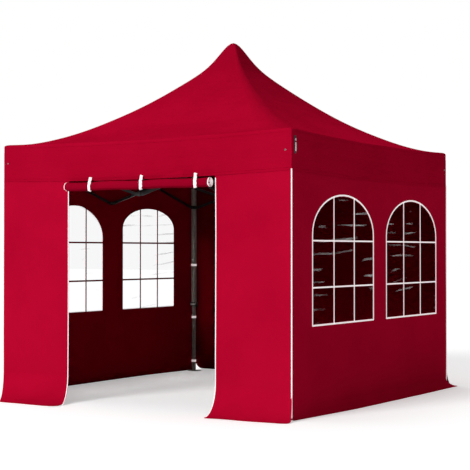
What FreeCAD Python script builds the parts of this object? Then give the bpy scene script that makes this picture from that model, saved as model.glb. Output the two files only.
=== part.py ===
"""Pop up gazebo, 3 x 3 m: folding scissor frame, peak pole, canopy and four side walls.

Millimetres. +Z is up, the origin is on the ground at the middle of the plan, and the doorway faces -Y.
The frame repeats four times round the Z axis, so each piece is described once, for the front side
(outward is -Y) or the front right corner, and turned by quarter turns for the others.
"""
import FreeCAD, Part
import math
import os

SIDES = ["front", "right", "back", "left"]
CORNERS = ["front_right", "back_right", "back_left", "front_left"]

# alias, value, what it is
SIZES = [
    ("leg_centre", 1455, "leg axis from the middle of the plan, along X and along Y"),
    ("leg_width", 40, "outer leg tube, square"),
    ("leg_wall", 1.5, "wall of both leg tubes"),
    ("leg_top", 2230, "top of the outer leg"),
    ("collar_top", 747, "top of the collar at the foot of the outer leg"),
    ("collar_height", 40, "collar"),
    ("collar_wall", 7, "collar wall outside the leg"),
    ("inner_leg_width", 32, "inner leg tube, square"),
    ("inner_leg_top", 1040, "top of the inner leg, inside the outer leg"),
    ("glide_clearance", 0.4, "plastic glide on the inner leg's top, in the outer leg"),
    ("glide_height", 30, "plastic glide"),
    ("foot_size", 110, "foot plate, square"),
    ("foot_thick", 5, "foot plate"),
    ("peg_hole_radius", 5, "peg hole in a foot plate"),
    ("peg_hole_edge", 22, "peg hole from the foot plate's inner edges"),
    ("top_pivot", 2205, "height of the upper pivots of every scissor pair"),
    ("bar_rise", 420, "height between the upper and lower pivots, frame open"),
    ("bar_thick", 12, "bar section across the scissor plane"),
    ("bar_depth", 24, "bar section in the scissor plane"),
    ("bar_wall", 1, "bar tube wall"),
    ("bar_gap", 0.6, "gap between the two bars of a pair"),
    ("bar_end", 12, "bar beyond its end pivots"),
    ("pin_radius", 4, "pivot pins"),
    ("pin_clearance", 0.3, "radial clearance of a pin in a bar"),
    ("cheek_gap", 0.4, "gap between a bar and each bracket cheek"),
    ("cheek_thick", 4, "bracket cheek"),
    ("cheek_height", 24, "bracket cheek"),
    ("cheek_tip", 14, "cheek beyond its pivot"),
    ("hub_reach", 40, "hub axis to its pivots"),
    ("hub_core", 42, "hub core, square"),
    ("hub_height", 44, "hub core"),
    ("bore_floor", 6, "hub's floor under the peak pole"),
    ("root_overlap", 4, "how far an arm's root reaches into the core it grows from"),
    ("mid_inner_reach", 40, "mid bracket to its inner pivot"),
    ("mid_root_extra", 1, "inner arm's root beyond the cheek it grows from"),
    ("mid_side_reach", 30, "mid bracket to its side pivots"),
    ("mid_core", 24, "mid bracket core"),
    ("bracket_height", 34, "corner and mid bracket cores"),
    ("bracket_root", 32, "end of the solid root of a corner bracket's arm"),
    ("slider_wall", 5.5, "slider wall outside its running clearance"),
    ("slider_clearance", 0.5, "slider round the outer leg, each side"),
    ("slider_height", 36, "slider"),
    ("slider_root_overlap", 1, "how far an arm's root reaches into the slider"),
    ("lever_width", 22, "leg lock lever"),
    ("lever_thick", 8, "leg lock lever"),
    ("lever_length", 52, "leg lock lever"),
    ("lever_pin_drop", 2, "lever's round head below the collar's top"),
    ("lever_gap", 0.4, "lever from the collar and its ears"),
    ("lever_pin_radius", 2.5, "lever pin"),
    ("lever_pin_clearance", 0.2, "lever on its pin"),
    ("ear_thick", 4, "collar ears at each side of the lever"),
    ("pole_radius", 12.5, "peak pole"),
    ("pole_clearance", 0.3, "pole in the upper hub's bore"),
    ("pole_cap_radius", 17, "rounded cap under the canopy's peak"),
    ("pole_cap_height", 10, "peak pole cap"),
    ("fabric", 2, "cloth of the walls and the valance"),
    ("roof_fabric", 2.5, "cloth of the roof, measured upright"),
    ("cloth_clearance", 0.4, "soft pieces from what they lie against"),
    ("wall_face", 1496, "outer face of the walls from the middle of the plan"),
    ("wall_top", 2190, "top edge of the walls"),
    ("hook_tape", 2, "hook tape that holds a wall's top to the valance"),
    ("hook_tape_height", 40, "hook tape"),
    ("front_flare", 250, "radius of the outward flare at the foot of the front and back walls"),
    ("front_flap", 30, "flat flap beyond that flare"),
    ("side_flare", 80, "radius of the flare at the foot of the side walls"),
    ("side_flap", 20, "flat flap beyond that flare"),
    ("door_middle", 26, "middle of the doorway, along X"),
    ("door_width", 1522, "doorway"),
    ("door_top", 1915, "top of the doorway"),
    ("doorway_margin", 10, "doorway's cutter beyond the cloth, in front and behind"),
    ("roll_middle", 27, "middle of the rolled door, along X"),
    ("roll_length", 1496, "rolled door"),
    ("roll_radius", 45, "rolled door"),
    ("roll_drop", 58, "roll axis below the doorway's top"),
    ("tie_spacing", 546, "between the ties of the rolled door"),
    ("tie_middle", 105, "middle tie, along X"),
    ("tie_width", 24, "tie"),
    ("tie_thick", 1.4, "tie"),
    ("tie_above", 75, "tie above the doorway's top, behind the valance"),
    ("window_width", 1080, "window opening"),
    ("window_sill", 714, "window opening's lower edge"),
    ("window_spring", 1440, "where the window's arch begins"),
    ("window_rise", 328, "rise of the arch"),
    ("window_offset", 668, "window's middle from the middle of the wall"),
    ("window_shift", 42, "both windows moved along the wall, away from the front"),
    ("window_seam", 14, "clear sheet beyond its opening"),
    ("pane_thick", 1, "clear sheet"),
    ("eave_height", 2263, "eave of the canopy"),
    ("valance_bottom", 1934, "lower edge of the valance"),
    ("roof_rise", 920, "rise of the concave roof to its middle"),
    ("roof_power", 1.6, "exponent of the roof's concave slope"),
    ("peak_rise", 85, "extra rise where the pole pushes the peak up"),
    ("peak_spread", 100, "how far from the middle that extra rise reaches"),
    ("peak_flat", 20, "half width of the peak's flat top"),
    ("roof_steps", 12, "straight stretches that the slope is made of"),
]

doc = FreeCAD.newDocument("gazebo")
sheet = doc.addObject("Spreadsheet::Sheet", "Sizes")
for row, (alias, number, note) in enumerate(SIZES, start=1):
    sheet.set(f"A{row}", note)
    sheet.set(f"B{row}", str(number))
    sheet.setAlias(f"B{row}", alias)
doc.recompute()

nodes = []
V = FreeCAD.Vector
UP = V(0, 0, 1)


def size(alias):
    """One driving size, as a number."""
    return float(sheet.get(alias))


def turned(quarters, x=0.0, y=0.0, z=0.0):
    """A place given for the front side, turned by quarter turns round the Z axis."""
    turn = FreeCAD.Placement(V(0, 0, 0), FreeCAD.Rotation(UP, 90 * quarters))
    return turn.multiply(FreeCAD.Placement(V(x, y, z), FreeCAD.Rotation()))


def axes_placement(base, along, across):
    """A placement at base whose X is along and whose Y is across."""
    third = along.cross(across)
    return FreeCAD.Placement(FreeCAD.Matrix(
        along.x, across.x, third.x, base.x,
        along.y, across.y, third.y, base.y,
        along.z, across.z, third.z, base.z,
        0, 0, 0, 1))


def bind(thing, **expressions):
    for prop, expression in expressions.items():
        thing.setExpression(prop, expression)
    return thing


def box(length, width, height, corner=(0, 0, 0), place=None):
    """A box whose sizes are expressions of the sheet, its lowest corner at corner."""
    thing = bind(doc.addObject("Part::Box", "Block"), Length=length, Width=width, Height=height)
    local = FreeCAD.Placement(V(*corner), FreeCAD.Rotation())
    thing.Placement = place.multiply(local) if place else local
    return thing


def rod(radius, height, base, axis, place=None):
    """A cylinder from base along axis."""
    thing = bind(doc.addObject("Part::Cylinder", "Rod"), Radius=radius, Height=height)
    local = FreeCAD.Placement(V(*base), FreeCAD.Rotation(UP, V(*axis)))
    thing.Placement = place.multiply(local) if place else local
    return thing


def fuse(*things):
    joined = doc.addObject("Part::MultiFuse", "Joined")
    joined.Shapes = list(things)
    joined.Refine = True
    return joined


def cut(base, *tools):
    result = doc.addObject("Part::Cut", "Cut")
    result.Base = base
    result.Tool = tools[0] if len(tools) == 1 else fuse(*tools)
    return result


def common(first, second):
    result = doc.addObject("Part::Common", "Common")
    result.Base = first
    result.Tool = second
    return result


def group(*things):
    """Separate solids that make one sub-part."""
    result = doc.addObject("Part::Compound", "Group")
    result.Links = list(things)
    return result


def keep(thing, label, place=None):
    """Name a finished sub-part and put it in its place."""
    thing.Label = label
    if place:
        thing.Placement = place
    nodes.append(thing)
    return thing


# Sizes that several pieces share.
BAR_RUN = "(Sizes.leg_centre - Sizes.hub_reach - Sizes.mid_inner_reach)"
BAR_LENGTH = f"sqrt({BAR_RUN}^2 + Sizes.bar_rise^2)"
bar_run = size("leg_centre") - size("hub_reach") - size("mid_inner_reach")
bar_length = math.hypot(bar_run, size("bar_rise"))
bar_angle = math.atan2(size("bar_rise"), bar_run)
low_pivot = size("top_pivot") - size("bar_rise")
bar_offset = (size("bar_thick") + size("bar_gap")) / 2
leg_reach = size("leg_centre") - bar_run - size("mid_side_reach")
CHEEK_SPAN = "(Sizes.bar_thick + 2 * Sizes.cheek_gap + 2 * Sizes.cheek_thick)"
cheek_span = size("bar_thick") + 2 * size("cheek_gap") + 2 * size("cheek_thick")


def bar(label, pivot, along, across, first, quarters):
    """A scissor bar from one end pivot. The first bar of a pair carries the rivet at its middle."""
    end, thick, depth, wall = (size(a) for a in ("bar_end", "bar_thick", "bar_depth", "bar_wall"))
    tube = cut(
        box(f"{BAR_LENGTH} + 2 * Sizes.bar_end", "Sizes.bar_thick", "Sizes.bar_depth",
            (-end, -thick / 2, -depth / 2)),
        box(f"{BAR_LENGTH} + 2 * Sizes.bar_end", "Sizes.bar_thick - 2 * Sizes.bar_wall",
            "Sizes.bar_depth - 2 * Sizes.bar_wall", (-end, wall - thick / 2, wall - depth / 2)))
    holes = [0, bar_length] if first else [0, bar_length / 2, bar_length]
    bored = cut(tube, *[
        rod("Sizes.pin_radius + Sizes.pin_clearance", "Sizes.bar_thick", (x, -thick / 2, 0), (0, 1, 0))
        for x in holes])
    if first:
        rivet = rod("Sizes.pin_radius", "2 * Sizes.bar_thick + Sizes.bar_gap",
                    (bar_length / 2, -1.5 * thick - size("bar_gap"), 0), (0, 1, 0))
        bored = fuse(bored, rivet)
    place = turned(quarters).multiply(axes_placement(pivot, along, across))
    return keep(bored, label, place)


def arm(angle, sign, start, root, reach, height, centre=(0, 0, 0)):
    """Two cheeks, a pin and a solid root, pointing along angle. sign says which bar of the pair it takes."""
    place = FreeCAD.Placement(V(*centre), FreeCAD.Rotation(UP, angle))
    middle = sign * bar_offset
    tip = reach + size("cheek_tip")
    low = -size("cheek_height") / 2
    length = tip - start
    parts = [box(str(root - start), CHEEK_SPAN, height, (start, middle - cheek_span / 2, -size_of(height) / 2),
                 place)]
    for side in (-1, 1):
        inner = side * (size("bar_thick") / 2 + size("cheek_gap") + size("cheek_thick") / 2)
        parts.append(box(str(length), "Sizes.cheek_thick", "Sizes.cheek_height",
                         (start, middle + inner - size("cheek_thick") / 2, low), place))
    parts.append(rod("Sizes.pin_radius", CHEEK_SPAN, (reach, middle - cheek_span / 2, 0), (0, 1, 0), place))
    return parts


def size_of(expression):
    """The number that a single-cell expression stands for."""
    return size(expression.replace("Sizes.", ""))


def block(length, width, height, centre=(0, 0, 0)):
    """A box centred at centre, its sizes single cells of the sheet."""
    half = [size_of(e) / 2 for e in (length, width, height)]
    return box(length, width, height, tuple(c - h for c, h in zip(centre, half)))


def upper_hub():
    core = block("Sizes.hub_core", "Sizes.hub_core", "Sizes.hub_height")
    arms = []
    for k in range(4):
        arms += arm(90 * k - 90, 1, size("hub_core") / 2 - size("root_overlap"), size("hub_core") / 2,
                    size("hub_reach"), "Sizes.cheek_height")
    bore = rod("Sizes.pole_radius + Sizes.pole_clearance", "Sizes.hub_height",
               (0, 0, size("bore_floor") - size("hub_height") / 2), (0, 0, 1))
    keep(cut(fuse(core, *arms), bore), "upper_hub", turned(0, z=size("top_pivot")))


def lower_hub():
    core = block("Sizes.hub_core", "Sizes.hub_core", "Sizes.hub_height")
    arms = []
    for k in range(4):
        arms += arm(90 * k - 90, -1, size("hub_core") / 2 - size("root_overlap"), size("hub_core") / 2,
                    size("hub_reach"), "Sizes.cheek_height")
    keep(fuse(core, *arms), "lower_hub", turned(0, z=low_pivot))


def peak_pole():
    """Stands in the upper hub's blind bore and carries the canopy's peak on a rounded cap."""
    foot = size("top_pivot") + size("bore_floor") - size("hub_height") / 2
    top = roof_height(size("peak_flat")) - size("roof_fabric") - size("cloth_clearance")
    shaft = rod("Sizes.pole_radius", str(top - foot), (0, 0, foot), (0, 0, 1))
    cap = rod("Sizes.pole_cap_radius", "Sizes.pole_cap_height", (0, 0, top - size("pole_cap_height")),
              (0, 0, 1))
    keep(fuse(shaft, cap), "peak_pole")


def mid_bracket(k, upper):
    """The bracket at the middle of a side, where two side bars meet one bar of the inner truss."""
    sign = -1 if upper else 1
    core = block("Sizes.mid_core", "Sizes.mid_core", "Sizes.bracket_height")
    start, root = size("mid_core") / 2 - size("root_overlap"), size("mid_core") / 2
    parts = [core]
    for angle, way in ((0, sign), (180, -sign)):
        parts += arm(angle, way, start, root, size("mid_side_reach"), "Sizes.cheek_height")
    # The inner arm grows out of the side arms' inner cheek, clear of the side bars' ends.
    start = sign * bar_offset + size("bar_thick") / 2 + size("cheek_gap")
    parts += arm(90, -sign, start, start + size("cheek_thick") + size("mid_root_extra"),
                 size("mid_inner_reach"), "Sizes.cheek_height")
    height = size("top_pivot") if upper else low_pivot
    label = f"mid_bracket_{'upper' if upper else 'lower'}_{SIDES[k]}"
    keep(fuse(*parts), label, turned(k, y=-size("leg_centre"), z=height))


def inner_bars(k):
    """The scissor pair from the hubs to the middle of a side."""
    cosine, sine = math.cos(bar_angle), math.sin(bar_angle)
    hub = size("hub_reach")
    across = V(1, 0, 0)
    bar(f"inner_bar_down_{SIDES[k]}", V(bar_offset, -hub, size("top_pivot")), V(0, -cosine, -sine),
        across, True, k)
    bar(f"inner_bar_up_{SIDES[k]}", V(-bar_offset, -hub, low_pivot), V(0, -cosine, sine),
        across, False, k)


def side_bars(k):
    """The two scissor pairs between the middle of a side and its corners."""
    cosine, sine = math.cos(bar_angle), math.sin(bar_angle)
    across = V(0, 1, 0)
    line = -size("leg_centre")
    for end, way in (("left", -1), ("right", 1)):
        start = way * size("mid_side_reach")
        bar(f"side_bar_up_{SIDES[k]}_{end}", V(start, line + bar_offset, low_pivot),
            V(way * cosine, 0, sine), across, True, k)
        bar(f"side_bar_down_{SIDES[k]}_{end}", V(start, line - bar_offset, size("top_pivot")),
            V(way * cosine, 0, -sine), across, False, k)


def corner_arms(sign, start, height, z):
    """The two arms of a corner bracket or slider, towards the two sides that meet there."""
    centre = (0, 0, z)
    return (arm(180, -sign, start, size("bracket_root"), leg_reach, height, centre)
            + arm(90, sign, start, size("bracket_root"), leg_reach, height, centre))


def outer_leg(k):
    """Square tube with its corner bracket at the top and the lock collar at the bottom."""
    half = size("leg_width") / 2
    bottom = size("collar_top") - size("collar_height")
    tube = cut(
        box("Sizes.leg_width", "Sizes.leg_width", "Sizes.leg_top - Sizes.collar_top + Sizes.collar_height",
            (-half, -half, bottom)),
        box("Sizes.leg_width - 2 * Sizes.leg_wall", "Sizes.leg_width - 2 * Sizes.leg_wall",
            "Sizes.leg_top - Sizes.collar_top + Sizes.collar_height",
            (size("leg_wall") - half, size("leg_wall") - half, bottom)))
    bracket = fuse(*corner_arms(1, half, "Sizes.bracket_height", size("top_pivot")))
    out = half + size("collar_wall")
    ring = cut(
        box("Sizes.leg_width + 2 * Sizes.collar_wall", "Sizes.leg_width + 2 * Sizes.collar_wall",
            "Sizes.collar_height", (-out, -out, bottom)),
        box("Sizes.leg_width", "Sizes.leg_width", "Sizes.collar_height", (-half, -half, bottom)))
    ears = []
    gap = size("lever_width") / 2 + size("lever_gap")
    depth = "Sizes.lever_thick + Sizes.lever_gap"
    for y in (-gap - size("ear_thick"), gap):
        ears.append(box(depth, "Sizes.ear_thick", "Sizes.collar_height / 2",
                        (-out - size("lever_thick") - size("lever_gap"), y,
                         size("collar_top") - size("collar_height") / 2)))
    pin = rod("Sizes.lever_pin_radius", "Sizes.lever_width + 2 * Sizes.lever_gap",
              (lever_axis()[0], -gap, lever_axis()[1]), (0, 1, 0))
    collar = fuse(ring, *ears, pin)
    keep(group(tube, bracket, collar), f"outer_leg_{CORNERS[k]}",
         turned(k, size("leg_centre"), -size("leg_centre")))


def lever_axis():
    """X and Z of the lock lever's pin, from the leg's axis."""
    face = size("leg_width") / 2 + size("collar_wall") + size("lever_gap")
    return -face - size("lever_thick") / 2, size("collar_top") - size("lever_thick") / 2 - size("lever_pin_drop")


def leg_lever(k):
    """The lever that locks the telescopic leg, round where it turns on its pin."""
    x, z = lever_axis()
    left = -size("lever_width") / 2
    plate = box("Sizes.lever_thick", "Sizes.lever_width", "Sizes.lever_length - Sizes.lever_thick / 2",
                (x - size("lever_thick") / 2, left, z + size("lever_thick") / 2 - size("lever_length")))
    head = rod("Sizes.lever_thick / 2", "Sizes.lever_width", (x, left, z), (0, 1, 0))
    hole = rod("Sizes.lever_pin_radius + Sizes.lever_pin_clearance", "Sizes.lever_width", (x, left, z),
               (0, 1, 0))
    keep(cut(fuse(plate, head), hole), f"leg_lever_{CORNERS[k]}",
         turned(k, size("leg_centre"), -size("leg_centre")))


def leg_slider(k):
    """Runs on the outer leg and carries the lower ends of the two side bars that meet there."""
    hole = size("leg_width") / 2 + size("slider_clearance")
    out = hole + size("slider_wall")
    low = -size("slider_height") / 2
    outside = "Sizes.leg_width + 2 * Sizes.slider_clearance + 2 * Sizes.slider_wall"
    inside = "Sizes.leg_width + 2 * Sizes.slider_clearance"
    ring = box(outside, outside, "Sizes.slider_height", (-out, -out, low))
    body = fuse(ring, *corner_arms(-1, out - size("slider_root_overlap"), "Sizes.slider_height", 0))
    bore = box(inside, inside, "Sizes.slider_height", (-hole, -hole, low))
    keep(cut(body, bore), f"leg_slider_{CORNERS[k]}",
         turned(k, size("leg_centre"), -size("leg_centre"), low_pivot))


def inner_leg(k):
    """Telescopic lower leg with a plastic glide on top, and a foot plate that reaches inwards from the walls."""
    half = size("inner_leg_width") / 2
    tube = cut(
        box("Sizes.inner_leg_width", "Sizes.inner_leg_width", "Sizes.inner_leg_top - Sizes.foot_thick",
            (-half, -half, size("foot_thick"))),
        box("Sizes.inner_leg_width - 2 * Sizes.leg_wall", "Sizes.inner_leg_width - 2 * Sizes.leg_wall",
            "Sizes.inner_leg_top - Sizes.foot_thick",
            (size("leg_wall") - half, size("leg_wall") - half, size("foot_thick"))))
    outer = size("leg_width") / 2
    low = outer - size("foot_size")
    plate = cut(
        box("Sizes.foot_size", "Sizes.foot_size", "Sizes.foot_thick", (low, -outer, 0)),
        rod("Sizes.peg_hole_radius", "Sizes.foot_thick",
            (low + size("peg_hole_edge"), -low - size("peg_hole_edge"), 0), (0, 0, 1)))
    wide = size("leg_width") - 2 * size("leg_wall") - 2 * size("glide_clearance")
    across = "Sizes.leg_width - 2 * Sizes.leg_wall - 2 * Sizes.glide_clearance"
    glide = box(across, across, "Sizes.glide_height", (-wide / 2, -wide / 2, size("inner_leg_top")))
    keep(group(fuse(tube, plate), glide), f"inner_leg_{CORNERS[k]}",
         turned(k, size("leg_centre"), -size("leg_centre")))


def wall_sheet(half_length, flare, flap):
    """An upright sheet whose foot flares outwards in a quarter circle and ends flat on the ground."""
    face, cloth = size("wall_face"), size("fabric")
    length = f"2 * ({half_length[0]})"
    reach = half_length[1]
    panel = box(length, "Sizes.fabric", f"Sizes.wall_top - Sizes.{flare} - Sizes.fabric",
                (-reach, -face, size(flare) + cloth))
    centre = V(-reach, -face - size(flare), size(flare) + cloth)
    rings = []
    for radius in (f"Sizes.{flare} + Sizes.fabric", f"Sizes.{flare}"):
        sector = bind(doc.addObject("Part::Cylinder", "Sector"), Radius=radius, Height=length)
        sector.Angle = 90
        sector.Placement = axes_placement(centre, V(0, 0, -1), V(0, 1, 0))
        rings.append(sector)
    curve = cut(*rings)
    flat = box(length, f"Sizes.{flap}", "Sizes.fabric", (-reach, -face - size(flare) - size(flap), 0))
    tape = box(length, "Sizes.hook_tape", "Sizes.hook_tape_height",
               (-reach, -face - size("hook_tape"), size("wall_top") - size("hook_tape_height")))
    return fuse(panel, curve, flat, tape)


def arched_block(middle, margin, thick, y):
    """A block with the window's outline, margin wider all round, from y inwards by thick."""
    wide = f"Sizes.window_width + 2 * {margin}"
    half = size("window_width") / 2 + margin
    rise = size("window_rise") + margin
    sill = size("window_sill") - margin
    lower = box(wide, thick, f"Sizes.window_spring - Sizes.window_sill + {margin}",
                (middle - half, y, sill))
    radius = f"(({wide})^2 / 4 + (Sizes.window_rise + {margin})^2) / (2 * (Sizes.window_rise + {margin}))"
    big = (half ** 2 + rise ** 2) / (2 * rise)
    circle = rod(radius, thick, (middle, y, size("window_spring") + rise - big), (0, 1, 0))
    upper = box(wide, thick, f"Sizes.window_rise + {margin}", (middle - half, y, size("window_spring")))
    return fuse(lower, common(circle, upper))


def window_middles(k):
    """Where the two windows of a side wall are, along the wall as it is seen from outside."""
    shift = size("window_shift") * (1 if k == 1 else -1)
    return [shift - size("window_offset"), shift + size("window_offset")]


def front_half():
    return ("Sizes.wall_face", size("wall_face"))


def side_half():
    """Side walls end just inside the front and back walls."""
    return ("Sizes.wall_face - Sizes.fabric - Sizes.cloth_clearance",
            size("wall_face") - size("fabric") - size("cloth_clearance"))


def front_wall():
    sheet_shape = wall_sheet(front_half(), "front_flare", "front_flap")
    depth = size("front_flare") + size("front_flap") + size("doorway_margin")
    doorway = box("Sizes.door_width", str(depth + size("doorway_margin")), "Sizes.door_top",
                  (size("door_middle") - size("door_width") / 2, -size("wall_face") - depth, 0))
    keep(cut(sheet_shape, doorway), "front_wall")


def back_wall():
    keep(wall_sheet(front_half(), "front_flare", "front_flap"), "back_wall", turned(2))


def side_wall(k):
    sheet_shape = wall_sheet(side_half(), "side_flare", "side_flap")
    tools = [arched_block(middle, 0, "Sizes.fabric", -size("wall_face")) for middle in window_middles(k)]
    keep(cut(sheet_shape, *tools), f"{SIDES[k]}_wall", turned(k))


def window_panes():
    """Clear sheets sewn behind the four window openings."""
    panes = []
    inside = size("fabric") - size("wall_face")
    for k in (1, 3):
        for middle in window_middles(k):
            pane = arched_block(middle, size("window_seam"), "Sizes.pane_thick", inside)
            pane.Placement = turned(k)
            panes.append(pane)
    keep(group(*panes), "window_panes")


def roll_centre():
    """Y and Z of the rolled door's axis: just outside the wall, under the valance."""
    y = -size("wall_face") - size("cloth_clearance") - size("roll_radius")
    return y, size("door_top") - size("roll_drop")


def rolled_door():
    y, z = roll_centre()
    keep(rod("Sizes.roll_radius", "Sizes.roll_length", (size("roll_middle") - size("roll_length") / 2, y, z),
             (1, 0, 0)), "rolled_door")


def door_ties():
    """Three ties: each a loop round the rolled door and a tail sewn between the wall and the valance."""
    y, z = roll_centre()
    ties = []
    for i in (-1, 0, 1):
        x = size("tie_middle") + i * size("tie_spacing") - size("tie_width") / 2
        loop = cut(
            rod("Sizes.roll_radius + Sizes.cloth_clearance + Sizes.tie_thick", "Sizes.tie_width",
                (x, y, z), (1, 0, 0)),
            rod("Sizes.roll_radius + Sizes.cloth_clearance", "Sizes.tie_width", (x, y, z), (1, 0, 0)))
        tail_y = -size("wall_face") - size("cloth_clearance") - size("tie_thick")
        low = z + size("roll_radius") / 4
        tail = box("Sizes.tie_width", "Sizes.tie_thick", f"Sizes.door_top + Sizes.tie_above - {low}",
                   (x, tail_y, low))
        hollow = rod("Sizes.roll_radius + Sizes.cloth_clearance", "Sizes.tie_width", (x, y, z), (1, 0, 0))
        ties.append(fuse(loop, cut(tail, hollow)))
    keep(group(*ties), "door_ties")


def valance_half():
    """Half width inside the valance."""
    return size("wall_face") + size("hook_tape") + size("cloth_clearance")


def roof_height(distance):
    """Height of the roof's outer surface at a distance from the middle, along the nearer axis."""
    share = 1 - distance / (valance_half() + size("fabric"))
    bump = size("peak_rise") * math.exp(-(distance / size("peak_spread")) ** 2)
    return size("eave_height") + size("roof_rise") * share ** size("roof_power") + bump


def square(half, height):
    corners = [V(-half, -half, height), V(half, -half, height), V(half, half, height), V(-half, half, height)]
    return Part.makePolygon(corners + corners[:1])


def roof_block(half, drop):
    """The solid under the roof's slope, lowered by drop."""
    steps = int(size("roof_steps"))
    flat = size("peak_flat")
    distances = [half + (flat - half) * i / steps for i in range(steps + 1)]
    loops = [square(d, roof_height(d) - drop) for d in distances]
    return Part.makeLoft(loops, True, True)


def canopy():
    """Concave four-sided roof with its valance: one skin, open below."""
    inner = valance_half()
    outer = inner + size("fabric")
    bottom, eave = size("valance_bottom"), size("eave_height")
    drop = size("roof_fabric")
    skirt = Part.makeBox(2 * outer, 2 * outer, eave - bottom, V(-outer, -outer, bottom))
    hollow = Part.makeBox(2 * inner, 2 * inner, roof_height(inner) - drop - bottom, V(-inner, -inner, bottom))
    shape = skirt.fuse(roof_block(outer, 0)).cut(hollow.fuse(roof_block(inner, drop)))
    thing = doc.addObject("Part::Feature", "Canopy")
    thing.Shape = shape.removeSplitter()
    keep(thing, "canopy")


upper_hub()
lower_hub()
peak_pole()
for quarter in range(4):
    inner_bars(quarter)
    side_bars(quarter)
    mid_bracket(quarter, True)
    mid_bracket(quarter, False)
    outer_leg(quarter)
    leg_slider(quarter)
    leg_lever(quarter)
    inner_leg(quarter)
front_wall()
side_wall(1)
back_wall()
side_wall(3)
window_panes()
rolled_door()
door_ties()
canopy()

doc.recompute()
for thing in doc.Objects:
    if "Invalid" in thing.State or "Error" in thing.State:
        raise RuntimeError(f"{thing.Label} failed: {thing.State}")
for node in nodes:
    if node.Shape.isNull() or not node.Shape.isValid() or not node.Shape.Solids:
        raise RuntimeError(f"{node.Label} has no valid solid")
os.makedirs("parts", exist_ok=True)
for node in nodes:
    node.Shape.exportStep(f"parts/{node.Label}.step")
print(len(nodes), "sub-parts written")
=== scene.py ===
"""Looks of the pop up gazebo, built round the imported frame.

Metres, in the row frame: +Z up, origin on the ground at the middle of the plan, the doorway faces -Y.
Cloth is worked out for the front side and turned by quarter turns for the others.
"""

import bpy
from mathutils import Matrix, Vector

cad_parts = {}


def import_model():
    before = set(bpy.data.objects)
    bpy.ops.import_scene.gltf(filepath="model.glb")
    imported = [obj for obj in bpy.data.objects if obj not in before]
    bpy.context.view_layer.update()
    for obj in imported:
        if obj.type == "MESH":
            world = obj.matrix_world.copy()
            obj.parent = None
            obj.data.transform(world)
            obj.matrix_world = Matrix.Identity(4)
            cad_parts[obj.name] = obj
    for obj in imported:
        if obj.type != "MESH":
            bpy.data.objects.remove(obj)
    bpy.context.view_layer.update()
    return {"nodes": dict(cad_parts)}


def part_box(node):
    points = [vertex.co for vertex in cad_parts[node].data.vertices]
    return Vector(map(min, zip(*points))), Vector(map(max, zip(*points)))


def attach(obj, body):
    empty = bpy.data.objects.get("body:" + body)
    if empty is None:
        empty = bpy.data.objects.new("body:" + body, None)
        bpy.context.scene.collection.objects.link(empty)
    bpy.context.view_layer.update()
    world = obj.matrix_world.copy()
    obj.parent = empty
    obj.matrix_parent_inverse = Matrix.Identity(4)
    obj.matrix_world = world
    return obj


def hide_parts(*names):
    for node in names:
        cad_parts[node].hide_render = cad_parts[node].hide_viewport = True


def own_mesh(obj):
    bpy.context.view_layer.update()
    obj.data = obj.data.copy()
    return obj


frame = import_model()

import math

import bmesh
import bpy
import numpy as np
from mathutils import Matrix, Vector, noise

SIDES = ["front", "right", "back", "left"]
CORNERS = ["front_right", "back_right", "back_left", "front_left"]
CLOTH = 0.0016

canopy_low, canopy_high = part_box("canopy")
roll_low, roll_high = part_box("rolled_door")

HALF = canopy_high[0]
VALANCE_BOTTOM = canopy_low[2]
VALANCE_HEIGHT = 0.329
EAVE = VALANCE_BOTTOM + VALANCE_HEIGHT
WALL_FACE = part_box("back_wall")[1][0]
WALL_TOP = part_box("right_wall")[1][2]
COLLAR_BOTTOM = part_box("outer_leg_front_right")[0][2]
COLLAR_HEIGHT = 0.040
LEG = 1.455
ROLL_RADIUS = (roll_high[2] - roll_low[2]) / 2
ROLL_AXIS = ((roll_high[1] + roll_low[1]) / 2, (roll_high[2] + roll_low[2]) / 2)
DOOR = (-0.735, 0.787)
DOOR_TOP = 1.915
FRONT_FLARE, FRONT_FLAP = 0.24, 0.02
SIDE_FLARE, SIDE_FLAP = 0.08, 0.02
WINDOW_WIDTH = 1.08
WINDOW_SILL = 0.714
WINDOW_SPRING = 1.44
WINDOW_RISE = 0.328
WINDOW_OFFSET = 0.668
WINDOW_SHIFT = 0.042
WINDOW_MUNTINS = (1.015, 1.39)
RIGHT_WINDOWS = (WINDOW_SHIFT - WINDOW_OFFSET, WINDOW_SHIFT + WINDOW_OFFSET)
LEFT_WINDOWS = (-WINDOW_SHIFT - WINDOW_OFFSET, -WINDOW_SHIFT + WINDOW_OFFSET)


# ---------------------------------------------------------------- meshes

def turned(k, points):
    """Points given for the front side, turned by k quarter turns."""
    p = np.array(points, float)
    for _ in range(k % 4):
        x, y = p[..., 0].copy(), p[..., 1].copy()
        p[..., 0], p[..., 1] = -y, x
    return p


def mesh_object(name, points, faces, material, smooth=True):
    mesh = bpy.data.meshes.new(name)
    mesh.from_pydata([tuple(p) for p in points], [], faces)
    mesh.update()
    obj = bpy.data.objects.new(name, mesh)
    bpy.context.scene.collection.objects.link(obj)
    for m in material if isinstance(material, (list, tuple)) else [material]:
        mesh.materials.append(m)
    if smooth:
        mesh.polygons.foreach_set("use_smooth", [True] * len(mesh.polygons))
    return obj


def grid_faces(rows, columns, closed=False):
    faces = []
    for i in range(rows - 1):
        for j in range(columns if closed else columns - 1):
            n = (j + 1) % columns
            faces.append((i * columns + j, (i + 1) * columns + j, (i + 1) * columns + n, i * columns + n))
    return faces


def grid(name, points, material, closed=False):
    """A sheet through a grid of points."""
    rows, columns = points.shape[:2]
    return mesh_object(name, points.reshape(-1, 3), grid_faces(rows, columns, closed), material)


def baked(obj):
    """Apply every modifier."""
    depsgraph = bpy.context.evaluated_depsgraph_get()
    mesh = bpy.data.meshes.new_from_object(obj.evaluated_get(depsgraph))
    obj.modifiers.clear()
    obj.data = mesh
    return obj


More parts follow.
